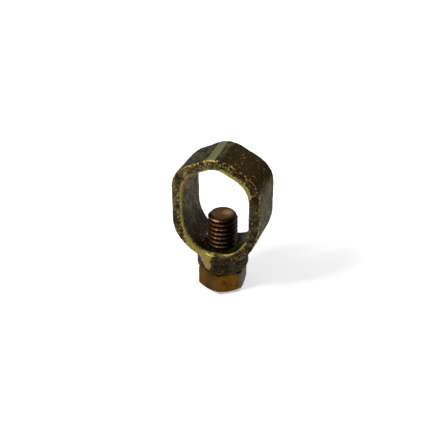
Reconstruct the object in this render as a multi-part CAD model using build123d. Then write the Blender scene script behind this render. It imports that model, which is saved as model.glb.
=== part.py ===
from build123d import *
from math import cos, radians, sqrt, tan
import os

# Earth rod clamp: a cast brass ring with a threaded boss under it, and a hexagon head bolt.
# The rod lies along Y in the roof of the ring. The bolt comes up through the boss along Z and
# presses the earthing cable against the rod. The origin is at the middle of the bolt head's
# free end, on which the clamp stands. All sizes are in millimetres.

# Bolt: 3/8 inch, 16 threads to the inch, drawn plain at its outside diameter.
THREAD_DIAMETER = 9.525
BOLT_LENGTH = 19.05  # under the head
TIP_BEVEL = 0.9
TIP_DISH_DEPTH = 0.3  # shallow turned hollow in the end of the bolt
UNDER_HEAD_FILLET = 0.4
HEAD_ACROSS_FLATS = 14.3
HEAD_HEIGHT = 7.3
HEAD_BEVEL_ANGLE = 30.0  # degrees from the free end's face
HEAD_FACE_DIAMETER = 11.6  # flat circle that the bevel leaves on the free end
HEAD_TURN = 36.5  # degrees that the hexagon is turned about Z when the bolt is home

# Window through the ring: a tall hexagon with a pitched roof and rounded corners.
RING_WIDTH = 15.0  # along the rod
WINDOW_HALF_WIDTH = 10.65
ROOF_ANGLE = 27.0  # degrees from the horizontal, each side of the roof
WINDOW_HEIGHT = 29.8  # from the floor to where the two sides of the roof would meet
WINDOW_HAUNCH_RISE = 6.8  # from the floor to where the walls start to draw in
FLOOR_HALF_WIDTH = 5.3
ROOF_RADIUS = 5.0
SHOULDER_RADIUS = 3.6
HAUNCH_RADIUS = 6.0
FLOOR_RADIUS = 7.5
WINDOW_EDGE_BEVEL = 0.7

# Outside of the ring.
SIDE_WALL = 3.7
ROOF_WALL = 3.5
OUTER_HAUNCH_RISE = 6.6  # from the window's floor to where the outside starts to draw in
DRAW_IN_ANGLE = 55.0  # degrees from the horizontal, of the sloping sides under the ring
OUTER_SHOULDER_RADIUS = 8.0
OUTER_HAUNCH_RADIUS = 5.0
OUTER_EDGE_ROUND = 0.7
CROWN_FLAT_DEPTH = 0.12  # ground off where the casting's gate stood

# Boss.
BOSS_HEIGHT = 8.3  # from the bolt head up to the window's floor
BOSS_PROUD = 0.9  # how far the boss stands out past each face of the ring
BOSS_FOOT_BEVEL = 1.1
BOSS_SHOULDER_ROUND = 0.6
CAST_BLEND = 0.5  # fillet where the sloping sides run into the boss
RING_DROP = 6.9  # from the window's floor to the ring's lowest point
HOLE_CLEARANCE = 0.05  # radial, around the bolt
HOLE_COUNTERSINK = 0.6
HOLE_RUN_OUT = 3.0  # cutter's run above the floor, where the floor curves up beside the bolt

# Sizes and levels that follow.
BOSS_DIAMETER = RING_WIDTH + 2 * BOSS_PROUD
WINDOW_FLOOR = HEAD_HEIGHT + BOSS_HEIGHT
WINDOW_APEX = WINDOW_FLOOR + WINDOW_HEIGHT
WINDOW_HAUNCH = WINDOW_FLOOR + WINDOW_HAUNCH_RISE
OUTER_HAUNCH = WINDOW_FLOOR + OUTER_HAUNCH_RISE
BOLT_TIP = HEAD_HEIGHT + BOLT_LENGTH
BOSS_TOP = WINDOW_FLOOR - WINDOW_EDGE_BEVEL - CAST_BLEND
ROOF_SLOPE = tan(radians(ROOF_ANGLE))
CROWN_APEX = WINDOW_APEX + ROOF_WALL / cos(radians(ROOF_ANGLE))
CROWN_RADIUS = ROOF_RADIUS + ROOF_WALL
CROWN = CROWN_APEX - CROWN_RADIUS * (1 / cos(radians(ROOF_ANGLE)) - 1)


def tall_hexagon(half: list, radii: list) -> Part:
    """A symmetric outline, given by its right half from the centre line, drawn through the ring."""
    points = half + [(-x, z) for x, z in reversed(half) if x > 0]
    with BuildSketch(Plane.XZ) as outline:
        with BuildLine():
            FilletPolyline(*points, radius=radii + radii[:0:-1], close=True)
        make_face()
    return extrude(outline.sketch, RING_WIDTH / 2, both=True)


def face_outlines(solid: Part) -> ShapeList:
    """The edges of the two flat faces that close the ring along Y."""
    across = solid.faces().filter_by(Plane.XZ).group_by(Axis.Y)
    return across[0].edges() + across[-1].edges()


def window_rims(solid: Part) -> ShapeList:
    """The edges of the window on those two faces."""
    across = solid.faces().filter_by(Plane.XZ).group_by(Axis.Y)
    faces = across[0] + across[-1]
    return ShapeList(e for face in faces for wire in face.inner_wires() for e in wire.edges())


def ring_blank() -> Part:
    """The ring before its window is cut, with its sloping sides run down into the boss."""
    side = WINDOW_HALF_WIDTH + SIDE_WALL
    keel = WINDOW_FLOOR - RING_DROP
    keel_half_width = side - (OUTER_HAUNCH - keel) / tan(radians(DRAW_IN_ANGLE))
    half = [
        (0, CROWN_APEX),
        (side, CROWN_APEX - side * ROOF_SLOPE),
        (side, OUTER_HAUNCH),
        (keel_half_width, keel),
    ]
    radii = [CROWN_RADIUS, OUTER_SHOULDER_RADIUS, OUTER_HAUNCH_RADIUS, 0]
    blank = tall_hexagon(half, radii)
    return fillet(face_outlines(blank), OUTER_EDGE_ROUND)


def window() -> Part:
    """The opening that the rod and the cable pass through, as a solid to cut away."""
    half = [
        (0, WINDOW_APEX),
        (WINDOW_HALF_WIDTH, WINDOW_APEX - WINDOW_HALF_WIDTH * ROOF_SLOPE),
        (WINDOW_HALF_WIDTH, WINDOW_HAUNCH),
        (FLOOR_HALF_WIDTH, WINDOW_FLOOR),
    ]
    return tall_hexagon(half, [ROOF_RADIUS, SHOULDER_RADIUS, HAUNCH_RADIUS, FLOOR_RADIUS])


def boss_blank() -> Part:
    """The round boss under the ring, with a bevelled foot and a rounded shoulder."""
    blank = Pos(0, 0, HEAD_HEIGHT) * Cylinder(
        BOSS_DIAMETER / 2, BOSS_TOP - HEAD_HEIGHT, align=(Align.CENTER, Align.CENTER, Align.MIN)
    )
    blank = chamfer(blank.edges().group_by(Axis.Z)[0], BOSS_FOOT_BEVEL)
    return fillet(blank.edges().group_by(Axis.Z)[-1], BOSS_SHOULDER_ROUND)


def bolt_hole() -> Part:
    """The hole through the boss, countersunk at both ends, as a solid to cut away."""
    radius = THREAD_DIAMETER / 2 + HOLE_CLEARANCE
    mouth = radius + HOLE_COUNTERSINK
    section = Polyline(
        (0, HEAD_HEIGHT),
        (mouth, HEAD_HEIGHT),
        (radius, HEAD_HEIGHT + HOLE_COUNTERSINK),
        (radius, WINDOW_FLOOR - HOLE_COUNTERSINK),
        (mouth, WINDOW_FLOOR),
        (mouth, WINDOW_FLOOR + HOLE_RUN_OUT),
        (0, WINDOW_FLOOR + HOLE_RUN_OUT),
        close=True,
    )
    return revolve(Plane.XZ * make_face(section), Axis.Z)


def crown_grinding() -> Part:
    """The sliver that the grinder takes off along the top of the ring."""
    size = 2 * CROWN_RADIUS
    return Pos(0, 0, CROWN - CROWN_FLAT_DEPTH) * Box(
        size, RING_WIDTH, size, align=(Align.CENTER, Align.CENTER, Align.MIN)
    )


def clamp_body() -> Part:
    """The casting: ring and boss in one piece, with its window, hole and dressed edges."""
    ring = ring_blank()
    boss = boss_blank()
    casting = ring + boss
    seams = new_edges(ring, boss, combined=casting).filter_by(GeomType.ELLIPSE)
    casting = fillet(seams, CAST_BLEND)
    pierced = casting - window()
    pierced = chamfer(window_rims(pierced), WINDOW_EDGE_BEVEL)
    return pierced - bolt_hole() - crown_grinding()


def bolt_head() -> Part:
    """The hexagon, with the turned bevel that rounds off the corners of its free end."""
    corner = HEAD_ACROSS_FLATS / sqrt(3)
    prism = extrude(RegularPolygon(corner, 6, rotation=HEAD_TURN), HEAD_HEIGHT)
    face = HEAD_FACE_DIAMETER / 2
    bevel_height = (corner - face) * tan(radians(HEAD_BEVEL_ANGLE))
    section = Polyline(
        (0, 0),
        (face, 0),
        (corner, bevel_height),
        (corner, HEAD_HEIGHT),
        (0, HEAD_HEIGHT),
        close=True,
    )
    return prism & revolve(Plane.XZ * make_face(section), Axis.Z)


def bolt_shank() -> Part:
    """The shank, with its bevelled and slightly hollow tip and the fillet under the head."""
    radius = THREAD_DIAMETER / 2
    tip_face = radius - TIP_BEVEL
    with BuildSketch(Plane.XZ) as section:
        with BuildLine():
            Line((0, HEAD_HEIGHT), (radius + UNDER_HEAD_FILLET, HEAD_HEIGHT))
            RadiusArc(
                (radius + UNDER_HEAD_FILLET, HEAD_HEIGHT),
                (radius, HEAD_HEIGHT + UNDER_HEAD_FILLET),
                UNDER_HEAD_FILLET,
            )
            Polyline(
                (radius, HEAD_HEIGHT + UNDER_HEAD_FILLET),
                (radius, BOLT_TIP - TIP_BEVEL),
                (tip_face, BOLT_TIP),
                (0, BOLT_TIP - TIP_DISH_DEPTH),
                (0, HEAD_HEIGHT),
            )
        make_face()
    return revolve(section.sketch, Axis.Z)


def clamp_bolt() -> Part:
    """Head and shank in one piece."""
    return bolt_head() + bolt_shank()


os.makedirs("parts", exist_ok=True)
for name, make in {"clamp_body": clamp_body, "clamp_bolt": clamp_bolt}.items():
    export_step(make(), f"parts/{name}.step")
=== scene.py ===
"""Looks of the earth rod clamp: a sand-cast brass ring and a hexagon head bolt with its thread."""

import logging
import math
from collections.abc import Sequence
from dataclasses import dataclass, field
from enum import Enum
from typing import Any

import bpy
import numpy as np
from bpy.types import Material, Mesh, NodeSocket, NodeTree, Object
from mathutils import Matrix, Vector, noise

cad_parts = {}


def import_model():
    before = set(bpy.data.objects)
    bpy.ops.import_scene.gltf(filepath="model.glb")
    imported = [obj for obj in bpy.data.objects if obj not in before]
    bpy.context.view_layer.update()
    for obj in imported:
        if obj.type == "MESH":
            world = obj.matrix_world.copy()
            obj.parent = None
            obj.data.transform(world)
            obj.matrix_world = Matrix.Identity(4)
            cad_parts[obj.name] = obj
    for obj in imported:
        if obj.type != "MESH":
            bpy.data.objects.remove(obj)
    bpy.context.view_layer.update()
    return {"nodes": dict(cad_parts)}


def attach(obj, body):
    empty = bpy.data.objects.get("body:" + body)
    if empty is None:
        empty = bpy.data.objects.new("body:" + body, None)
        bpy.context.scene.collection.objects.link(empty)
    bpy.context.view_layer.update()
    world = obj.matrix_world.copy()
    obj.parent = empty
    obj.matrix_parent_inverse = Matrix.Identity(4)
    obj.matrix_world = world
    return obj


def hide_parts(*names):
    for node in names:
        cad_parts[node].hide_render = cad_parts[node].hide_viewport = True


MM = 0.001
LOG = logging.getLogger("earth_rod_clamp")

# Where an effect starts and where it is full, then its value at both, if not 0 and 1.
Span = tuple[float, ...]


class Body(str, Enum):
    """The moving bodies of the clamp."""

    CASTING = "casting"
    BOLT = "bolt"


class Node(str, Enum):
    """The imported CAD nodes."""

    CASTING = "clamp_body"
    BOLT = "clamp_bolt"


class Slot(str, Enum):
    """The record's material slots."""

    BRASS = "cast_brass"
    BRONZE = "bronze_bolt"


class Mask(str, Enum):
    """Named per-vertex values that the casting's finish reads."""

    BARE = "bare_metal"
    GROUND = "ground_flat"
    # Painted shade: darker in the window, on the boss below the ring and on the right of the front face.
    PAINTED_SHADE = "grime"
    # Painted shade on the right slope of the roof, which is turned from the key light.
    SHADED_FLANK = "dark_flank"


class Along(Enum):
    """Measures along which a worn patch starts and fills out."""

    X = "across the ring"
    Y = "along the rod, the front being below zero"
    Z = "upwards"
    RIM = "out from the window's rim"
    EDGE = "out from the ring's outer edge"
    LEAN = "how far the surface faces up, from -1 to 1"
    STRIPE = "away from the middle of the ground stripe"
    STREAK = "rightwards from the left side of the streak on the boss"


# The step by which a patch keeps to the ring's front face.
FRONT_FACE = (Along.Y, -6.2, -6.9)


class Kind(str, Enum):
    """The kinds of node that the finishes, the white surroundings and the thread are made of."""

    MATH = "ShaderNodeMath"
    MIX = "ShaderNodeMix"
    RANGE = "ShaderNodeMapRange"
    NOISE = "ShaderNodeTexNoise"
    PLACE = "ShaderNodeTexCoord"
    MASK = "ShaderNodeAttribute"
    SPLIT = "ShaderNodeSeparateXYZ"
    JOIN = "ShaderNodeCombineXYZ"
    VECTOR = "ShaderNodeVectorMath"
    BUMP = "ShaderNodeBump"
    RAY = "ShaderNodeLightPath"
    TUBE = "GeometryNodeMeshCylinder"
    POSITION = "GeometryNodeInputPosition"
    MOVE = "GeometryNodeSetPosition"
    REALIZE = "GeometryNodeRealizeInstances"
    DRESS = "GeometryNodeSetMaterial"
    GIVEN = "NodeGroupInput"
    RESULT = "NodeGroupOutput"


def linear(code: str) -> tuple[float, float, float, float]:
    """Turns an sRGB hex colour into linear light.

    Args:
        code: Six hex digits, with or without a leading #.

    Returns:
        Red, green, blue and an alpha of one.
    """
    knee, slope, offset, power = 0.04045, 12.92, 0.055, 2.4
    digits = code.lstrip("#")
    parts = [int(digits[i : i + 2], 16) / 255 for i in (0, 2, 4)]
    light = [c / slope if c <= knee else ((c + offset) / (1 + offset)) ** power for c in parts]
    return (light[0], light[1], light[2], 1.0)


def ramp(value: np.ndarray, start: Any, end: Any) -> np.ndarray:
    """Smooth step from 0 at start to 1 at end.

    Args:
        value: The values to map.
        start: Where the step begins; may be larger than end.
        end: Where the step is complete.

    Returns:
        Values from 0 to 1.
    """
    t = np.clip((value - start) / (end - start), 0.0, 1.0)
    return t * t * (3.0 - 2.0 * t)


def soft_max(first: np.ndarray, second: np.ndarray, reach: float) -> np.ndarray:
    """The larger of two distances, with the corner between them rounded.

    Args:
        first: One set of distances.
        second: The other set.
        reach: How far from the corner the rounding starts.

    Returns:
        The rounded larger distances.
    """
    near = np.maximum(reach - np.abs(first - second), 0.0)
    return np.maximum(first, second) + near * near / (4.0 * reach)


def fill(tree: NodeTree, node: bpy.types.Node, inputs: dict | Sequence) -> None:
    """Sets or links a node's inputs.

    Args:
        tree: The node tree.
        node: The node to fill.
        inputs: Values by socket, or in the order of the sockets. A node stands for its first output.
    """
    named = inputs if isinstance(inputs, dict) else dict(enumerate(inputs))
    for key, value in named.items():
        source = value.outputs[0] if isinstance(value, bpy.types.Node) else value
        if isinstance(source, NodeSocket):
            tree.links.new(source, node.inputs[key])
        else:
            node.inputs[key].default_value = source


def add_node(
    tree: NodeTree, kind: Kind, inputs: dict | Sequence = (), **settings: Any
) -> bpy.types.Node:
    """Adds one node, applies its settings, and sets or links its inputs.

    Args:
        tree: The node tree to add to.
        kind: The kind of node.
        inputs: Values by socket, or in the order of the sockets.
        **settings: Attributes of the node.

    Returns:
        The new node.
    """
    made = tree.nodes.new(kind.value)
    for name, value in settings.items():
        setattr(made, name, value)
    fill(tree, made, inputs)
    return made


def layered(tree: NodeTree, base: Any, *films: tuple[Any, Any]) -> NodeSocket:
    """Lays films of colour over a base, one after the other.

    Args:
        tree: The node tree.
        base: The colour underneath.
        *films: How much each film covers, and its colour.

    Returns:
        The finished colour's socket.
    """
    share_in, under_in, over_in, colour_out = 0, 6, 7, 2
    colour = base
    for share, film in films:
        inputs = {share_in: share, under_in: colour, over_in: film}
        colour = add_node(tree, Kind.MIX, inputs, data_type="RGBA").outputs[colour_out]
    return colour


def new_material(name: str) -> tuple[Material, NodeTree, bpy.types.Node]:
    """An empty material with one Principled shader.

    Args:
        name: The material's name.

    Returns:
        The material, its tree and its shader.
    """
    material = bpy.data.materials.new(name)
    material.use_nodes = True
    return material, material.node_tree, material.node_tree.nodes["Principled BSDF"]


@dataclass(frozen=True)
class Grain:
    """A noise pattern whose lumps are about size_mm across."""

    size_mm: float
    detail: float = 4.0

    def inputs(self, place: NodeSocket) -> dict[str, Any]:
        """The inputs of a noise node that draws the pattern.

        Args:
            place: Socket with object coordinates in metres.

        Returns:
            Values by the names of the sockets.
        """
        return {"Vector": place, "Scale": 1.0 / (self.size_mm * MM), "Detail": self.detail}


@dataclass(frozen=True)
class SandCastBrass:
    """Brass poured in sand: a dark oxide skin, grainy, with gold showing where it was rubbed."""

    skin: str = "#675a3b"
    skin_dark: str = "#272113"
    # The flank colours are painted shade on the right slope of the roof.
    flank: str = "#160f08"
    flank_shade_blush: str = "#382716"
    # The colour of the painted shade.
    shade: str = "#1e190e"
    bare: str = "#ad9a50"
    bare_dark: str = "#7d6b33"
    fleck: str = "#a88c40"
    ground: str = "#a29d66"
    pit: str = "#14120d"
    copper: str = "#97692f"
    glance: str = "#ffffff"
    flank_glance: str = "#f1e3c4"
    mottle: Grain = Grain(2.6)
    grit: Grain = Grain(0.28)
    blush: Grain = Grain(0.8)
    specks: Grain = Grain(0.6, 2.0)
    holes: Grain = Grain(0.8, 3.0)
    patches: Grain = Grain(0.9)
    tatters: Grain = Grain(0.6, 3.0)
    skin_span: Span = (0.36, 0.62)
    blush_span: Span = (0.45, 0.68)
    speck_span: Span = (0.61, 0.65)
    speck_ground_span: Span = (0.3, 0.6)
    specks_by_shade: Span = (0.0, 1.0, 0.85, 0.1)
    specks_by_flank: Span = (0.0, 1.0, 1.0, 0.08)
    hole_span: Span = (0.5, 0.6, 0.0, 0.62)
    patch_span: Span = (0.25, 0.75, -0.2, 0.2)
    tatter_span: Span = (0.35, 0.65, -0.45, 0.45)
    rubbed_span: Span = (0.46, 0.54)
    bare_span: Span = (0.35, 0.65)
    metallic_by_polish: Span = (0.0, 1.0, 0.96, 1.0)
    roughness_by_polish: Span = (0.0, 1.0, 0.6, 0.48)
    # How far the painted shade covers the skin.
    shade_cover: float = 0.9
    copper_cover: float = 0.7
    mottle_height: float = 1.5
    bump_strength: float = 0.8
    bump_mm: float = 0.05

    def build(self) -> Material:
        """Makes the material.

        Returns:
            The finished material.
        """
        material, tree, shader = new_material("sand_cast_brass")
        place = add_node(tree, Kind.PLACE).outputs["Object"]
        masks = {m: add_node(tree, Kind.MASK, attribute_name=m.value).outputs["Fac"] for m in Mask}
        mottle = add_node(tree, Kind.NOISE, self.mottle.inputs(place))
        grit = add_node(tree, Kind.NOISE, self.grit.inputs(place))
        blush = add_node(tree, Kind.NOISE, self.blush.inputs(place))
        holes = add_node(tree, Kind.NOISE, self.holes.inputs(place))
        specks = self.speck_share(tree, place, mottle, masks)
        rubbed = self.rubbed_share(tree, place, masks[Mask.BARE])
        blush_share = add_node(tree, Kind.RANGE, (blush, *self.blush_span))
        dark_flank = layered(tree, linear(self.flank), (blush_share, linear(self.flank_shade_blush)))
        # Rubbed metal is gold, but redder where copper was left at the surface, on the right slope of the
        # roof that carries painted shade.
        copper_share = add_node(tree, Kind.MATH, (masks[Mask.SHADED_FLANK], self.copper_cover), operation="MULTIPLY")
        bare = layered(
            tree,
            linear(self.bare_dark),
            (add_node(tree, Kind.RANGE, (grit, *self.bare_span)), linear(self.bare)),
            (copper_share, linear(self.copper)),
        )
        colour = layered(
            tree,
            linear(self.skin_dark),
            # The oxide skin is uneven: it took on more colour where the sand was damp.
            (add_node(tree, Kind.RANGE, (mottle, *self.skin_span)), linear(self.skin)),
            # Painted shade on the right slope of the roof.
            (masks[Mask.SHADED_FLANK], dark_flank),
            # Painted shade: the window's walls go dark towards its floor, the boss goes dark below the ring
            # and the right of the front face is darker.
            (
                add_node(tree, Kind.MATH, (masks[Mask.PAINTED_SHADE], self.shade_cover), operation="MULTIPLY"),
                linear(self.shade),
            ),
            # High grains are polished by handling and catch the light as gold flecks.
            (specks, linear(self.fleck)),
            # Sand left black pits between the grains.
            (add_node(tree, Kind.RANGE, (holes, *self.hole_span)), linear(self.pit)),
            # Rubbing takes the skin off in ragged patches.
            (rubbed, bare),
            # The grinder leaves a duller, greener stripe.
            (masks[Mask.GROUND], linear(self.ground)),
        )
        # The right slope of the roof carries painted shade, and glancing light comes back warm from it.
        glance = layered(tree, linear(self.glance), (masks[Mask.SHADED_FLANK], linear(self.flank_glance)))
        worn = add_node(tree, Kind.MATH, (rubbed, masks[Mask.GROUND]), operation="MAXIMUM")
        polish = add_node(tree, Kind.MATH, (worn, specks), operation="MAXIMUM")
        swell = add_node(tree, Kind.MATH, (mottle, self.mottle_height), operation="MULTIPLY")
        height = add_node(tree, Kind.MATH, (grit, swell), operation="ADD")
        relief = {"Strength": self.bump_strength, "Distance": self.bump_mm * MM, "Height": height}
        finish = {
            "Base Color": colour,
            "Specular Tint": glance,
            "Metallic": add_node(tree, Kind.RANGE, (polish, *self.metallic_by_polish)),
            "Roughness": add_node(tree, Kind.RANGE, (polish, *self.roughness_by_polish)),
            "Normal": add_node(tree, Kind.BUMP, relief),
        }
        fill(tree, shader, finish)
        return material

    def speck_share(
        self, tree: NodeTree, place: NodeSocket, mottle: bpy.types.Node, masks: dict[Mask, NodeSocket]
    ) -> bpy.types.Node:
        """Where high grains are polished: fewer in the dark of the mottle, under the painted shade and on the
        right slope of the roof.

        Args:
            tree: The node tree.
            place: Socket with object coordinates.
            mottle: The skin's broad pattern.
            masks: The casting's masks.

        Returns:
            The node that gives their cover.
        """
        share = add_node(tree, Kind.NOISE, self.specks.inputs(place))
        share = add_node(tree, Kind.RANGE, (share, *self.speck_span))
        limits = (
            (mottle, *self.speck_ground_span),
            (masks[Mask.PAINTED_SHADE], *self.specks_by_shade),
            (masks[Mask.SHADED_FLANK], *self.specks_by_flank),
        )
        for limit in limits:
            kept = add_node(tree, Kind.RANGE, limit)
            share = add_node(tree, Kind.MATH, (share, kept), operation="MULTIPLY")
        return share

    def rubbed_share(
        self, tree: NodeTree, place: NodeSocket, bare: NodeSocket
    ) -> bpy.types.Node:
        """Where the skin is off: the bare mask, made ragged by a broad and a fine pattern.

        Args:
            tree: The node tree.
            place: Socket with object coordinates.
            bare: The mask of bare metal.

        Returns:
            The node that gives the cover of bare metal.
        """
        patches = add_node(tree, Kind.NOISE, self.patches.inputs(place))
        tatters = add_node(tree, Kind.NOISE, self.tatters.inputs(place))
        broad = add_node(tree, Kind.RANGE, (patches, *self.patch_span))
        fine = add_node(tree, Kind.RANGE, (tatters, *self.tatter_span))
        uneven = add_node(tree, Kind.MATH, (broad, fine), operation="ADD")
        ragged = add_node(tree, Kind.MATH, (bare, uneven), operation="ADD")
        return add_node(tree, Kind.RANGE, (ragged, *self.rubbed_span))


@dataclass(frozen=True)
class TarnishedBronze:
    """Turned and cold-headed bronze, gone golden brown, with darker handling stains."""

    name: str
    light: str
    dark: str
    stain: str
    # Painted reflection: the grey laid on the flat that faces right.
    film: str = "#5d5147"
    clouds: Grain = Grain(3.2)
    grit: Grain = Grain(0.2)
    cloud_span: Span = (0.38, 0.6)
    stain_span: Span = (0.56, 0.74, 0.0, 0.6)
    foot_dark_span: Span = (1.7 * MM, 0.3 * MM, 0.0, 0.7)
    reflection_span: Span = (6.6 * MM, 7.1 * MM, 0.0, 0.8)
    roughness_span: Span = (0.3, 0.7, 0.34, 0.54)
    metallic: float = 0.96
    bump_strength: float = 0.5
    bump_mm: float = 0.02

    def build(self) -> Material:
        """Makes the material.

        Returns:
            The finished material.
        """
        material, tree, shader = new_material(self.name)
        place = add_node(tree, Kind.PLACE).outputs["Object"]
        axes = add_node(tree, Kind.SPLIT, (place,)).outputs
        clouds = add_node(tree, Kind.NOISE, self.clouds.inputs(place))
        grit = add_node(tree, Kind.NOISE, self.grit.inputs(place))
        colour = layered(
            tree,
            linear(self.dark),
            # Tarnish is thicker in clouds, so the gold comes and goes across a flat.
            (add_node(tree, Kind.RANGE, (clouds, *self.cloud_span)), linear(self.light)),
            (add_node(tree, Kind.RANGE, (grit, *self.stain_span)), linear(self.stain)),
            # The turned bevel at the free end is darker towards the bottom.
            (add_node(tree, Kind.RANGE, (axes["Z"], *self.foot_dark_span)), linear(self.stain)),
            # Painted reflection: the flat that faces right is laid grey instead of gold.
            (add_node(tree, Kind.RANGE, (axes["X"], *self.reflection_span)), linear(self.film)),
        )
        relief = {"Strength": self.bump_strength, "Distance": self.bump_mm * MM, "Height": grit}
        finish = {
            "Base Color": colour,
            "Metallic": self.metallic,
            "Roughness": add_node(tree, Kind.RANGE, (grit, *self.roughness_span)),
            "Normal": add_node(tree, Kind.BUMP, relief),
        }
        fill(tree, shader, finish)
        return material


@dataclass(frozen=True)
class ThreadBronze:
    """Cut thread: painted shade makes the roots nearly black and painted highlight makes the crests copper
    gold, broken by worn patches; the copper brown tip carries a painted highlight and painted shade too.
    """

    # Painted highlight and shade: crests take the crest colour and roots the nearly black root colour.
    crest: str = "#a5763a"
    root_shade: str = "#120c08"
    tip: str = "#6f4f2c"
    tip_dark: str = "#5c4128"
    # Painted shade round the rim of the tip's hollow.
    rim_shade: str = "#2e1f12"
    # Painted highlight on the upper right of the tip's hollow.
    tip_highlight: str = "#c9976a"
    patches: Grain = Grain(0.9)
    tip_patches: Grain = Grain(1.1)
    crest_span: Span = (4.2 * MM, 4.72 * MM)
    patch_span: Span = (0.35, 0.65, 0.15, 1.0)
    # Painted shade: the crests lose their colour towards the right.
    right_shade_span: Span = (0.5 * MM, 3.2 * MM, 1.0, 0.12)
    tip_span: Span = (25.9 * MM, 26.0 * MM)
    tip_patch_span: Span = (0.35, 0.65)
    rim_shade_span: Span = (3.2 * MM, 3.7 * MM)
    highlight_spot: tuple[float, float, float] = (1.3 * MM, 1.2 * MM, 0.0)
    highlight_span: Span = (2.3 * MM, 0.4 * MM)
    roughness_by_rub: Span = (0.0, 1.0, 0.55, 0.27)
    metallic: float = 0.96

    def build(self) -> Material:
        """Makes the material.

        Returns:
            The finished material.
        """
        material, tree, shader = new_material("thread_bronze")
        place = add_node(tree, Kind.PLACE).outputs["Object"]
        axes = add_node(tree, Kind.SPLIT, (place,)).outputs
        flat = add_node(tree, Kind.JOIN, (axes["X"], axes["Y"]))
        radius = add_node(tree, Kind.VECTOR, (flat,), operation="LENGTH").outputs["Value"]
        highlight_reach = add_node(tree, Kind.VECTOR, (flat, self.highlight_spot), operation="DISTANCE").outputs["Value"]
        patches = add_node(tree, Kind.NOISE, self.patches.inputs(place))
        tip_patches = add_node(tree, Kind.NOISE, self.tip_patches.inputs(place))
        crest_light_and_wear = add_node(tree, Kind.RANGE, (radius, *self.crest_span))
        # Painted shade: the crest colour fades out towards the right, the side turned from the key light, and
        # worn patches break it up.
        for limit in ((patches, *self.patch_span), (axes["X"], *self.right_shade_span)):
            crest_light_and_wear = add_node(tree, Kind.MATH, (crest_light_and_wear, add_node(tree, Kind.RANGE, limit)), operation="MULTIPLY")
        tip_wear_and_light = layered(
            tree,
            linear(self.tip_dark),
            (add_node(tree, Kind.RANGE, (tip_patches, *self.tip_patch_span)), linear(self.tip)),
            # Painted shade darkens the turned rim round the hollow, and a painted highlight lies on one side
            # of the hollow.
            (add_node(tree, Kind.RANGE, (radius, *self.rim_shade_span)), linear(self.rim_shade)),
            (add_node(tree, Kind.RANGE, (highlight_reach, *self.highlight_span)), linear(self.tip_highlight)),
        )
        at_tip = add_node(tree, Kind.RANGE, (axes["Z"], *self.tip_span))
        finish = {
            "Base Color": layered(tree, linear(self.root_shade), (crest_light_and_wear, linear(self.crest)), (at_tip, tip_wear_and_light)),
            "Metallic": self.metallic,
            "Roughness": add_node(tree, Kind.RANGE, (crest_light_and_wear, *self.roughness_by_rub)),
        }
        fill(tree, shader, finish)
        return material


@dataclass(frozen=True)
class PaleFloor:
    """Plain matt white board, with the faintest unevenness of its paper face."""

    light: str = "#ffffff"
    dark: str = "#fafafa"
    clouds: Grain = Grain(60.0)
    # Lift near the clamp and far from it, between two distances from its foot.
    lift_span: Span = (60.0 * MM, 180.0 * MM, 0.36, 0.76)
    roughness: float = 0.9

    def build(self) -> Material:
        """Makes the material.

        Returns:
            The finished material.
        """
        material, tree, shader = new_material("pale_floor")
        place = add_node(tree, Kind.PLACE).outputs["Object"]
        clouds = add_node(tree, Kind.NOISE, self.clouds.inputs(place))
        camera_ray = add_node(tree, Kind.RAY).outputs["Is Camera Ray"]
        # The board pales away from the clamp, so that no edge of it shows against the white behind.
        away = add_node(tree, Kind.VECTOR, (place,), operation="LENGTH").outputs["Value"]
        lift = add_node(tree, Kind.RANGE, (away, *self.lift_span))
        finish = {
            "Base Color": layered(tree, linear(self.dark), (clouds, linear(self.light))),
            "Roughness": self.roughness,
            "Specular IOR Level": 0.0,
            "Emission Color": linear(self.light),
            "Emission Strength": add_node(tree, Kind.MATH, (camera_ray, lift), operation="MULTIPLY"),
        }
        fill(tree, shader, finish)
        return material


def place_piece(obj: Object, body: Body, node: Node) -> None:
    """Declares one finished piece to the frame.

    Args:
        obj: The piece.
        body: The body it rides.
        node: The CAD node it stands for.
    """
    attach(obj, body.value)
    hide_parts(node.value)
    LOG.info("%s: %d vertices", obj.name, len(obj.data.vertices))


def bake(obj: Object) -> None:
    """Turns an object's modifiers into plain mesh and removes them.

    Args:
        obj: The object to change.
    """
    evaluated = obj.evaluated_get(bpy.context.evaluated_depsgraph_get())
    plain = bpy.data.meshes.new_from_object(evaluated)
    obj.modifiers.clear()
    obj.data = plain


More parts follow.
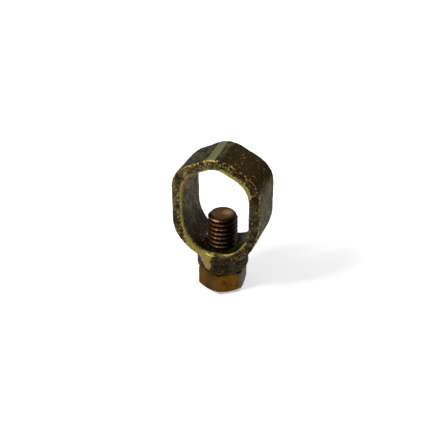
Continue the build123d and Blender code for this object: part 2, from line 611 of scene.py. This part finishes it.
@dataclass(frozen=True)
class CastForm:
    """The casting's form as distances from its surface. Sizes and distances in millimetres."""

    half_width: float = 14.35
    ring_half_depth: float = 7.5
    crown: float = 48.168
    roof_angle: float = 27.0
    outer_apex: float = 49.33
    outer_haunch: float = 22.4
    left_haunch: float = 20.9
    left_slope: float = 46.0  # from the horizontal; the left side is drawn in less steeply
    right_slope: float = 56.0
    keel_front: float = 13.2
    keel_back: float = 9.2
    window_half: float = 10.65
    window_apex: float = 45.4
    window_haunch: float = 22.4
    window_floor: float = 15.6
    window_slope: float = 51.8
    boss_radius: float = 8.35
    boss_foot: float = 7.34
    boss_bevel: float = 1.1
    boss_top: float = 15.2
    bore_radius: float = 4.9
    bore_end: float = 30.0
    shoulder_round: float = 5.2
    crown_round: float = 3.9
    haunch_round: float = 3.2
    window_round: float = 3.0
    window_shoulder_round: float = 4.8
    edge_round: float = 1.0
    bevel_round: float = 0.5
    boss_top_round: float = 1.0
    foot_round: float = 0.3
    bore_round: float = 0.6
    blend: float = 0.9

    def roof(self, x: np.ndarray, z: np.ndarray, apex: float, edge_round: float) -> np.ndarray:
        """Distance above a roof with two equal slopes.

        Args:
            x: Across the ring.
            z: Heights.
            apex: Height at which the slopes would meet.
            edge_round: How far from the ridge the rounding starts.

        Returns:
            Distances, below zero under the roof.
        """
        angle = math.radians(self.roof_angle)
        right = x * math.sin(angle) + (z - apex) * math.cos(angle)
        left = -x * math.sin(angle) + (z - apex) * math.cos(angle)
        return soft_max(right, left, edge_round)

    def window(self, x: np.ndarray, z: np.ndarray) -> np.ndarray:
        """Distance outside the window's outline.

        Args:
            x: Across the ring.
            z: Heights.

        Returns:
            Distances, below zero inside the window.
        """
        slope = math.radians(self.window_slope)
        side = np.abs(x) - self.window_half
        lower = side * math.sin(slope) - (z - self.window_haunch) * math.cos(slope)
        roof = self.roof(x, z, self.window_apex, self.window_round)
        shape = soft_max(roof, side, self.window_shoulder_round)
        return soft_max(soft_max(shape, lower, self.window_round), self.window_floor - z, self.window_round)

    def outline(self, x: np.ndarray, y: np.ndarray, z: np.ndarray) -> np.ndarray:
        """Distance outside the ring's outer outline.

        Args:
            x: Across the ring.
            y: Along the rod.
            z: Heights.

        Returns:
            Distances, below zero inside the ring.
        """
        slope = np.radians(np.where(x < 0, self.left_slope, self.right_slope))
        side = np.abs(x) - self.half_width
        haunch = np.where(x < 0, self.left_haunch, self.outer_haunch)
        lower = side * np.sin(slope) - (z - haunch) * np.cos(slope)
        back = ramp(y, -self.ring_half_depth, self.ring_half_depth)
        keel = self.keel_front + (self.keel_back - self.keel_front) * back
        shape = soft_max(self.roof(x, z, self.outer_apex, self.crown_round), side, self.shoulder_round)
        return soft_max(soft_max(shape, lower, self.haunch_round), keel - z, self.haunch_round)

    def boss(self, reach: np.ndarray, z: np.ndarray) -> np.ndarray:
        """Distance outside the round boss.

        Args:
            reach: Distances from the bolt's axis.
            z: Heights.

        Returns:
            Distances, below zero inside the boss.
        """
        lower = self.boss_radius - self.boss_bevel + z - self.boss_foot
        bevel = (reach - lower) * math.sqrt(0.5)
        shape = soft_max(reach - self.boss_radius, bevel, self.bevel_round)
        shape = soft_max(shape, z - self.boss_top, self.boss_top_round)
        return soft_max(shape, self.boss_foot - z, self.foot_round)

    def distance(self, spots: np.ndarray) -> np.ndarray:
        """Distance outside the whole casting.

        Args:
            spots: One row of x, y, z for each point.

        Returns:
            Distances, below zero inside the metal.
        """
        x, y, z = spots.T
        reach = np.hypot(x, y)
        faces = np.abs(y) - self.ring_half_depth
        ring = soft_max(self.outline(x, y, z), faces, self.edge_round)
        solid = -soft_max(-ring, -self.boss(reach, z), self.blend)
        solid = soft_max(solid, -self.window(x, z), self.edge_round)
        bore = np.maximum(reach - self.bore_radius, z - self.bore_end)
        return np.maximum(soft_max(solid, -bore, self.bore_round), z - self.crown)

    def settle(self, spots: np.ndarray, steps: int) -> np.ndarray:
        """Moves points onto the surface.

        Args:
            spots: One row of x, y, z for each point.
            steps: How many times to move them.

        Returns:
            The moved points.
        """
        probe, furthest, flattest = 0.01, 0.5, 0.2
        for _ in range(steps):
            here = self.distance(spots)
            shifts = [self.distance(spots + probe * axis) - here for axis in np.eye(3)]
            slope = np.stack(shifts, axis=1) / probe
            length = np.maximum((slope**2).sum(axis=1), flattest)
            move = np.clip(here / length, -furthest, furthest)
            spots = spots - slope * move[:, None]
        return spots


@dataclass(frozen=True)
class Patch:
    """A soft-edged region of the casting, strongest where all its steps are complete.

    Each step names a measure, the value at which the region starts and the value at which it is full.
    """

    strength: float
    steps: tuple[tuple[Along, float, float], ...]

    def over(self, along: dict[Along, np.ndarray]) -> np.ndarray:
        """How strongly the region covers each vertex.

        Args:
            along: The measures of every vertex.

        Returns:
            Values from 0 to the strength.
        """
        cover = np.full(len(along[Along.X]), self.strength)
        for measure, start, full in self.steps:
            cover = cover * ramp(along[measure], start, full)
        return cover


@dataclass(frozen=True)
class WearMap:
    """Where the casting is rubbed bare or ground, and where painted shade lies on it. Sizes in millimetres.
    """

    form: CastForm
    front: Patch = Patch(1.0, (FRONT_FACE,))
    # Bare band round the window's front rim: widest at the lower left, where it runs on down the boss.
    band_width: float = 0.85
    band_solid: float = 0.65
    band_gone: float = 1.1
    band_strength: float = 0.9
    band_lower_left: Patch = Patch(1.2, ((Along.X, -0.5, -3.0), (Along.Z, 24.0, 18.0)))
    band_foot: Patch = Patch(1.8, ((Along.X, 0.0, -1.5), (Along.Z, 19.0, 16.0)))
    band_upper_right: Patch = Patch(0.9, ((Along.X, 1.0, 3.5), (Along.Z, 36.5, 38.5)))
    band_floor_right: Patch = Patch(-0.45, ((Along.X, -1.5, 0.5), (Along.Z, 20.0, 17.0)))
    band_hidden: Patch = Patch(0.55, ((Along.X, 6.0, 9.0), (Along.Z, 37.0, 35.0), (Along.Z, 20.0, 23.0)))
    # The streak leans left as it comes down the boss.
    streak_left: float = -7.1
    streak_top: float = 15.0
    streak_slant: float = 0.75
    streak: Patch = Patch(
        1.0,
        (
            (Along.Y, -3.0, -5.0),
            (Along.Z, 16.0, 14.5),
            (Along.Z, 8.8, 10.5),
            (Along.STREAK, -0.7, 0.7),
            (Along.X, -0.2, -2.2),
        ),
    )
    outer_edge: Patch = Patch(0.5, (FRONT_FACE, (Along.EDGE, -0.6, -0.3), (Along.Z, 17.0, 22.0)))
    face: Patch = Patch(0.16, (FRONT_FACE, (Along.Z, 14.0, 18.0)))
    face_right: Patch = Patch(-0.14, (FRONT_FACE, (Along.Z, 14.0, 18.0), (Along.X, 3.0, 8.0)))
    # The stripe that the grinder left on the crown lies left of the middle and runs a little askew.
    stripe_left: float = 1.75
    stripe_slant: float = 0.06
    stripe: Patch = Patch(1.0, ((Along.LEAN, 0.75, 0.85), (Along.STRIPE, 1.5, 1.1), (Along.Z, 45.5, 46.0)))
    # Painted shade: the window's walls darken towards its floor.
    wall_shade: Patch = Patch(1.0, ((Along.RIM, 0.35, 0.0), (Along.Z, 32.0, 17.0)))
    # Painted shade on the boss below the ring.
    boss_shade: Patch = Patch(0.8, ((Along.Z, 15.5, 13.5),))
    # Painted shade: the right of the front face is darker, on the side away from the key light.
    face_right_shade: Patch = Patch(0.5, (FRONT_FACE, (Along.X, 3.0, 8.0), (Along.Z, 17.0, 21.0)))
    # The painted shade is kept off the back right of the window's floor, which is lit.
    shade_gap: Patch = Patch(
        1.0, ((Along.X, 4.5, 6.0), (Along.Y, -4.0, 1.0), (Along.RIM, 0.35, 0.0), (Along.Z, 22.0, 19.0))
    )
    # Painted shade: the right slope of the roof, turned from the key light.
    flank: Patch = Patch(1.0, ((Along.X, 0.8, 2.2), (Along.Z, 29.0, 40.0), (Along.LEAN, -0.1, 0.6)))

    def measures(self, spots: np.ndarray, lean: np.ndarray) -> dict[Along, np.ndarray]:
        """Takes every measure of every vertex.

        Args:
            spots: One row of x, y, z for each vertex.
            lean: The upward part of each vertex's normal.

        Returns:
            The values of each measure.
        """
        x, y, z = spots.T
        return {
            Along.X: x,
            Along.Y: y,
            Along.Z: z,
            Along.RIM: self.form.window(x, z),
            Along.EDGE: self.form.outline(x, y, z),
            Along.LEAN: lean,
            Along.STRIPE: np.abs(x + self.stripe_left + self.stripe_slant * y),
            Along.STREAK: x - (self.streak_left + (self.streak_top - z) * self.streak_slant),
        }

    def band(self, along: dict[Along, np.ndarray]) -> np.ndarray:
        """The bare band round the window's front rim.

        Args:
            along: The measures of every vertex.

        Returns:
            How bare each vertex is.
        """
        changes = (self.band_lower_left, self.band_foot, self.band_upper_right, self.band_floor_right)
        width = self.band_width + sum(change.over(along) for change in changes)
        inside = 1.0 - ramp(along[Along.RIM], width * self.band_solid, width * self.band_gone)
        return self.front.over(along) * inside * (self.band_strength - self.band_hidden.over(along))

    def masks(self, along: dict[Along, np.ndarray]) -> dict[Mask, np.ndarray]:
        """Works out the masks that the finish reads.

        Args:
            along: The measures of every vertex.

        Returns:
            The values of each mask.
        """
        face = self.face.over(along) + self.face_right.over(along)
        bare = (self.band(along), self.streak.over(along), self.outer_edge.over(along), face)
        grime = [shade_patch.over(along) for shade_patch in (self.wall_shade, self.boss_shade, self.face_right_shade)]
        return {
            Mask.BARE: np.maximum.reduce(bare),
            Mask.GROUND: self.stripe.over(along),
            Mask.PAINTED_SHADE: np.maximum.reduce(grime) * (1.0 - self.shade_gap.over(along)),
            Mask.SHADED_FLANK: self.flank.over(along),
        }


@dataclass
class Casting:
    """Ring and boss, softened like a sand casting. Sizes in millimetres."""

    weld: float = 0.002
    voxel: float = 0.26
    evening: int = 3
    settle_steps: tuple[int, int] = (10, 8)
    lump: float = 0.09
    lump_size: float = 3.5
    lump_fade: float = 1.0
    lump_step: float = 2.0
    lump_octaves: int = 2
    lump_sink: float = 0.4
    grit: float = 0.08
    grit_size: float = 0.8
    grit_sink: float = 0.3
    smooth_above_foot: float = 0.3
    smooth_above_floor: float = 0.6
    smooth_round_bore: float = 0.7
    form: CastForm = field(default_factory=CastForm)
    finish: SandCastBrass = field(default_factory=SandCastBrass)

    def build(self, source: Object) -> Object:
        """Builds the casting's mesh from a merged copy of the CAD node and dresses it.

        Args:
            source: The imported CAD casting.

        Returns:
            The finished object.
        """
        obj = bpy.data.objects.new("casting_skin", source.data.copy())
        bpy.context.scene.collection.objects.link(obj)
        weld = obj.modifiers.new("weld", "WELD")
        weld.merge_threshold = self.weld * MM
        for steps in self.settle_steps:
            self.remesh(obj)
            self.settle(obj.data, steps)
        self.roughen(obj.data)
        self.mark(obj.data)
        obj.data.shade_smooth()
        obj.data.materials.clear()
        obj.data.materials.append(self.finish.build())
        place_piece(obj, Body.CASTING, Node.CASTING)
        return obj

    def remesh(self, obj: Object) -> None:
        """Gives the skin an even, closed net of small faces.

        Args:
            obj: The casting.
        """
        net = obj.modifiers.new("remesh", "REMESH")
        net.mode = "VOXEL"
        net.voxel_size = self.voxel * MM
        even = obj.modifiers.new("even", "SMOOTH")
        even.iterations = self.evening
        bake(obj)

    def read(self, mesh: Mesh, name: str) -> np.ndarray:
        """Reads one value of three parts from every vertex.

        Args:
            mesh: The casting's mesh.
            name: The value's name on a vertex.

        Returns:
            One row for each vertex.
        """
        flat = np.empty(len(mesh.vertices) * 3)
        mesh.vertices.foreach_get(name, flat)
        return flat.reshape(-1, 3)

    def settle(self, mesh: Mesh, steps: int) -> None:
        """Lays the skin on the casting's form.

        Args:
            mesh: The casting's mesh.
            steps: How many times each vertex is moved.
        """
        spots = self.form.settle(self.read(mesh, "co") / MM, steps)
        mesh.vertices.foreach_set("co", (spots * MM).ravel())
        mesh.update()

    def roughen(self, mesh: Mesh) -> None:
        """Moves each vertex along its normal by the lumps and grit of the mould.

        The drilled hole and the faced foot stay smooth, since the bolt runs and seats there.

        Args:
            mesh: The casting's mesh.
        """
        foot = self.form.boss_foot + self.smooth_above_foot
        floor = self.form.window_floor + self.smooth_above_floor
        bore = self.form.bore_radius + self.smooth_round_bore
        normals = [v.normal.copy() for v in mesh.vertices]
        for vertex, normal in zip(mesh.vertices, normals):
            spot = vertex.co / MM
            drilled = spot.z < floor and spot.xy.length < bore
            if spot.z < foot or drilled:
                continue
            lump = noise.fractal(spot / self.lump_size, self.lump_fade, self.lump_step, self.lump_octaves)
            grit = noise.noise(spot / self.grit_size)
            height = (lump - self.lump_sink) * self.lump + (grit - self.grit_sink) * self.grit
            vertex.co += normal * height * MM
        mesh.update()

    def mark(self, mesh: Mesh) -> None:
        """Stores the masks that the finish reads.

        Args:
            mesh: The casting's mesh.
        """
        wear = WearMap(self.form)
        lean = self.read(mesh, "normal")[:, 2]
        for mask, value in wear.masks(wear.measures(self.read(mesh, "co") / MM, lean)).items():
            layer = mesh.attributes.new(mask.value, "FLOAT", "POINT")
            layer.data.foreach_set("value", np.clip(value, 0.0, 1.0).astype(np.float32))


@dataclass
class BoltHead:
    """Hexagon head with its turned bevel. Sizes in millimetres."""

    across_flats: float = 14.3
    height: float = 7.3
    face_diameter: float = 11.6
    bevel_angle: float = 30.0
    turn: float = 36.5
    corner_sharpness: float = 70.0
    edge_round: float = 0.3
    edge_rows: tuple[float, ...] = (0.6, 0.3, 0.1, 0.0)  # down from the top, as shares of the rounding
    bevel_from: float = 0.03
    bevel_to: float = 1.7
    bevel_rows: int = 18
    flat_rows: tuple[float, float] = (3.0, 5.0)
    around: int = 240
    crease_angle: float = 24.0
    finish: TarnishedBronze = TarnishedBronze("head_bronze", "#694609", "#472e05", "#2c200c")

    def corner_radius(self, angle: float) -> float:
        """Distance from the axis to the hexagon, its corners slightly rounded.

        Args:
            angle: Direction, in radians.

        Returns:
            The distance.
        """
        pairs = 3
        flats = (angle - math.radians(self.turn + 30 + 180 / pairs * i) for i in range(pairs))
        total = sum(abs(math.cos(a)) ** self.corner_sharpness for a in flats)
        return self.across_flats / 2 * total ** (-1 / self.corner_sharpness)

    def levels(self) -> list[float]:
        """Heights of the head's rings: close together on the bevel and round the upper edge.

        Returns:
            Heights from the face up.
        """
        bevel = np.linspace(self.bevel_from, self.bevel_to, self.bevel_rows)
        upper = [self.height - self.edge_round * share for share in (1.0, *self.edge_rows)]
        return [0.0, *bevel, *self.flat_rows, *upper]

    def ring(self, z: float) -> list[tuple[float, float, float]]:
        """Vertices of one ring round the head.

        Args:
            z: The ring's height.

        Returns:
            A place for each direction.
        """
        over = max(0.0, z - (self.height - self.edge_round))
        inset = self.edge_round - math.sqrt(max(0.0, self.edge_round**2 - over**2))
        bevel = self.face_diameter / 2 + z / math.tan(math.radians(self.bevel_angle))
        made = []
        for angle in self.angles():
            reach = min(self.corner_radius(angle), bevel) - inset
            made.append((reach * math.cos(angle), reach * math.sin(angle), z))
        return made

    def build(self) -> Object:
        """Builds and dresses the head.

        Returns:
            The finished object.
        """
        levels = self.levels()
        vertices = [(0.0, 0.0, 0.0)]
        for z in levels:
            vertices += self.ring(z)
        vertices.append((0.0, 0.0, self.height))
        mesh = bpy.data.meshes.new("bolt_head")
        faces = self.faces(len(levels), len(vertices) - 1)
        mesh.from_pydata([Vector(v) * MM for v in vertices], [], faces)
        obj = bpy.data.objects.new("bolt_head", mesh)
        bpy.context.scene.collection.objects.link(obj)
        mesh.shade_smooth()
        mesh.set_sharp_from_angle(angle=math.radians(self.crease_angle))
        mesh.materials.append(self.finish.build())
        place_piece(obj, Body.BOLT, Node.BOLT)
        return obj

    def angles(self) -> list[float]:
        """Directions around the head.

        Returns:
            Angles in radians.
        """
        return [math.radians(self.turn) + math.tau * i / self.around for i in range(self.around)]

    def faces(self, rows: int, last: int) -> list[tuple[int, ...]]:
        """Faces of a closed shell of rings.

        Args:
            rows: Number of rings.
            last: Index of the vertex that closes the top.

        Returns:
            Vertex indices of each face, turned outward.
        """
        n = self.around
        made: list[tuple[int, ...]] = []
        for i in range(n):
            j = (i + 1) % n
            made.append((0, 1 + j, 1 + i))
            for row in range(rows - 1):
                a, b = 1 + row * n, 1 + (row + 1) * n
                made.append((a + i, a + j, b + j, b + i))
            top = 1 + (rows - 1) * n
            made.append((top + i, top + j, last))
        return made


@dataclass
class ThreadedShank:
    """Right-hand 3/8 inch, 16 threads to the inch, made with Geometry Nodes. Sizes in millimetres."""

    major_radius: float = 4.7625
    pitch: float = 1.5875
    depth: float = 0.97
    base: float = 6.3
    tip: float = 26.35
    tip_bevel: float = 0.9
    dish: float = 0.3
    plain: float = 2.2
    flank_span: tuple[float, float] = (0.125, 0.75)  # crest to root, as shares of half a pitch
    around: int = 144
    rows: int = 300
    cap_rings: int = 8
    crease_angle: float = 40.0
    finish: ThreadBronze = field(default_factory=ThreadBronze)

    def tree(self, material: Material) -> tuple[NodeTree, dict[str, str]]:
        """The node tree that draws the shank.

        Args:
            material: The shank's finish.

        Returns:
            The tree, and each input's identifier by its name.
        """
        tree = bpy.data.node_groups.new("threaded_shank", "GeometryNodeTree")
        ids = {}
        for name in self.sizes():
            socket = tree.interface.new_socket(name, in_out="INPUT", socket_type="NodeSocketFloat")
            ids[name] = socket.identifier
        tree.interface.new_socket("Geometry", in_out="OUTPUT", socket_type="NodeSocketGeometry")
        given = add_node(tree, Kind.GIVEN).outputs
        net = {
            "Vertices": self.around,
            "Side Segments": self.rows,
            "Fill Segments": self.cap_rings,
            "Radius": 1.0,
            "Depth": given["Length"],
        }
        shell = add_node(tree, Kind.TUBE, net, fill_type="TRIANGLE_FAN").outputs["Mesh"]
        axes = add_node(tree, Kind.SPLIT, (add_node(tree, Kind.POSITION),)).outputs
        half = add_node(tree, Kind.MATH, (given["Length"], 0.5), operation="MULTIPLY")
        up = add_node(tree, Kind.MATH, (axes["Z"], half), operation="ADD")
        to_tip = add_node(tree, Kind.MATH, (given["Length"], up), operation="SUBTRACT")
        groove = self.groove(tree, given, axes, up)
        # The bevel at the tip cuts the thread off.
        cut = add_node(tree, Kind.MATH, (given["Major Radius"], groove), operation="SUBTRACT")
        tip_face = add_node(tree, Kind.MATH, (given["Major Radius"], given["Bevel"]), operation="SUBTRACT")
        bevel = add_node(tree, Kind.MATH, (tip_face, to_tip), operation="ADD")
        radius = add_node(tree, Kind.MATH, (cut, bevel), operation="MINIMUM")
        based = add_node(tree, Kind.MATH, (up, given["Base"]), operation="ADD")
        hollow = self.hollow(tree, given, axes, to_tip)
        spot = (
            add_node(tree, Kind.MATH, (axes["X"], radius), operation="MULTIPLY"),
            add_node(tree, Kind.MATH, (axes["Y"], radius), operation="MULTIPLY"),
            add_node(tree, Kind.MATH, (based, hollow), operation="SUBTRACT"),
        )
        moved = add_node(tree, Kind.MOVE, {"Geometry": shell, "Position": add_node(tree, Kind.JOIN, spot)})
        real = add_node(tree, Kind.REALIZE, {"Geometry": moved})
        dressed = add_node(tree, Kind.DRESS, {"Geometry": real, "Material": material})
        add_node(tree, Kind.RESULT, (dressed,))
        return tree, ids

    def groove(self, tree: NodeTree, given: Any, axes: Any, up: bpy.types.Node) -> bpy.types.Node:
        """How deep the thread is cut at each place.

        Args:
            tree: The node tree.
            given: The tree's inputs.
            axes: The sockets of each place's x, y and z.
            up: Heights above the shank's base.

        Returns:
            The node that gives the depth.
        """
        angle = add_node(tree, Kind.MATH, (axes["Y"], axes["X"]), operation="ARCTAN2")
        turned = add_node(tree, Kind.MATH, (angle, math.tau), operation="DIVIDE")
        climbed = add_node(tree, Kind.MATH, (up, given["Pitch"]), operation="DIVIDE")
        turns = add_node(tree, Kind.MATH, (climbed, turned), operation="SUBTRACT")
        # From one turn to the next the profile falls from the crest to the root and comes back.
        share = add_node(tree, Kind.MATH, (turns,), operation="FRACT")
        aside = add_node(tree, Kind.MATH, (share, 0.5), operation="SUBTRACT")
        far = add_node(tree, Kind.MATH, (aside,), operation="ABSOLUTE")
        flank = add_node(tree, Kind.MATH, (far, 2.0), operation="MULTIPLY")
        profile = add_node(tree, Kind.RANGE, (flank, *self.flank_span))
        # The thread runs out above the plain part, over one pitch.
        run_out = add_node(tree, Kind.MATH, (given["Plain"], given["Pitch"]), operation="ADD")
        fade = add_node(tree, Kind.RANGE, (up, given["Plain"], run_out))
        faded = add_node(tree, Kind.MATH, (profile, fade), operation="MULTIPLY")
        return add_node(tree, Kind.MATH, (faded, given["Depth"]), operation="MULTIPLY")

    def hollow(self, tree: NodeTree, given: Any, axes: Any, to_tip: bpy.types.Node) -> bpy.types.Node:
        """How far the tip's face is hollowed: most in the middle, and nothing on the sides.

        Args:
            tree: The node tree.
            given: The tree's inputs.
            axes: The sockets of each place's x, y and z.
            to_tip: Distances below the tip.

        Returns:
            The node that gives the depth.
        """
        across = add_node(tree, Kind.MATH, (axes["X"], axes["X"]), operation="MULTIPLY")
        along = add_node(tree, Kind.MATH, (axes["Y"], axes["Y"]), operation="MULTIPLY")
        square = add_node(tree, Kind.MATH, (across, along), operation="ADD")
        reach = add_node(tree, Kind.MATH, (square,), operation="SQRT")
        inward = add_node(tree, Kind.MATH, (1.0, reach), operation="SUBTRACT")
        depth = add_node(tree, Kind.MATH, (inward, given["Dish"]), operation="MULTIPLY")
        at_top = add_node(tree, Kind.MATH, (to_tip, 0.01 * MM), operation="LESS_THAN")
        return add_node(tree, Kind.MATH, (depth, at_top), operation="MULTIPLY")

    def sizes(self) -> dict[str, float]:
        """The sizes that the node tree is given.

        Returns:
            Millimetres by the name of the tree's input.
        """
        return {
            "Length": self.tip - self.base,
            "Base": self.base,
            "Pitch": self.pitch,
            "Major Radius": self.major_radius,
            "Depth": self.depth,
            "Bevel": self.tip_bevel,
            "Dish": self.dish,
            "Plain": self.plain,
        }

    def build(self) -> Object:
        """Builds and dresses the shank.

        Returns:
            The finished object.
        """
        tree, ids = self.tree(self.finish.build())
        obj = bpy.data.objects.new("bolt_thread", bpy.data.meshes.new("bolt_thread"))
        bpy.context.scene.collection.objects.link(obj)
        modifier = obj.modifiers.new("thread", "NODES")
        modifier.node_group = tree
        for name, size in self.sizes().items():
            modifier[ids[name]] = size * MM
        bake(obj)
        obj.data.shade_smooth()
        obj.data.set_sharp_from_angle(angle=math.radians(self.crease_angle))
        place_piece(obj, Body.BOLT, Node.BOLT)
        return obj


@dataclass
class Studio:
    """Floor, soft lights, white surroundings and the camera. Lengths in millimetres."""

    floor_size: float = 4000.0
    azimuth: float = 20.079
    elevation: float = 30.933
    target_height: float = 24.02
    distance: float = 235.3
    lens: float = 62.13
    shift_x: float = -0.01835
    shift_y: float = 0.00982
    clip_start: float = 5.0
    ambient: float = 0.27
    white: float = 1.0
    lamps: tuple = (
        ("key", (-240.0, -230.0, 330.0), 150.0, 1.6),
        ("fill", (320.0, -160.0, 160.0), 160.0, 0.06),
        ("back", (120.0, 300.0, 300.0), 180.0, 0.7),
    )

    def build(self) -> None:
        """Builds the whole studio."""
        self.floor()
        self.surroundings()
        for lamp in self.lamps:
            self.lamp(*lamp)
        self.camera()
        bpy.context.scene.view_settings.view_transform = "Standard"

    def floor(self) -> None:
        """A wide pale board that the clamp stands on."""
        half = self.floor_size / 2 * MM
        corners = [(-half, -half, 0), (half, -half, 0), (half, half, 0), (-half, half, 0)]
        mesh = bpy.data.meshes.new("floor")
        mesh.from_pydata(corners, [], [(0, 1, 2, 3)])
        mesh.materials.append(PaleFloor().build())
        obj = bpy.data.objects.new("floor", mesh)
        bpy.context.scene.collection.objects.link(obj)

    def surroundings(self) -> None:
        """White to the camera, softer light to everything else."""
        world = bpy.data.worlds.new("studio")
        bpy.context.scene.world = world
        world.use_nodes = True
        tree = world.node_tree
        camera_ray = add_node(tree, Kind.RAY).outputs["Is Camera Ray"]
        strength = add_node(tree, Kind.RANGE, (camera_ray, 0.0, 1.0, self.ambient, self.white))
        fill(tree, tree.nodes["Background"], {"Strength": strength, "Color": linear("#ffffff")})

    def lamp(self, name: str, spot: tuple[float, float, float], size: float, power: float) -> None:
        """One soft box aimed at the clamp.

        Args:
            name: The lamp's name.
            spot: Its place.
            size: Its width.
            power: Its power in watts.
        """
        data = bpy.data.lights.new(name, "AREA")
        data.size = size * MM
        data.energy = power
        obj = bpy.data.objects.new(name, data)
        obj.location = Vector(spot) * MM
        aim = Vector((0, 0, self.target_height)) * MM - obj.location
        obj.rotation_euler = aim.to_track_quat("-Z", "Y").to_euler()
        bpy.context.scene.collection.objects.link(obj)

    def camera(self) -> None:
        """The camera, above and to the right of the front."""
        az, el = math.radians(self.azimuth), math.radians(self.elevation)
        outward = Vector((math.sin(az) * math.cos(el), -math.cos(az) * math.cos(el), math.sin(el)))
        data = bpy.data.cameras.new("camera")
        data.lens = self.lens
        data.shift_x = self.shift_x
        data.shift_y = self.shift_y
        data.clip_start = self.clip_start * MM
        obj = bpy.data.objects.new("camera", data)
        target = Vector((0, 0, self.target_height)) * MM
        obj.location = target + outward * self.distance * MM
        obj.rotation_euler = (-outward).to_track_quat("-Z", "Y").to_euler()
        bpy.context.scene.collection.objects.link(obj)
        bpy.context.scene.camera = obj


def main() -> None:
    """Builds the clamp's looks piece by piece."""
    logging.basicConfig(level=logging.INFO)
    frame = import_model()
    Casting().build(frame["nodes"][Node.CASTING.value])
    BoltHead().build()
    ThreadedShank().build()
    Studio().build()


if __name__ == "__main__":
    main()
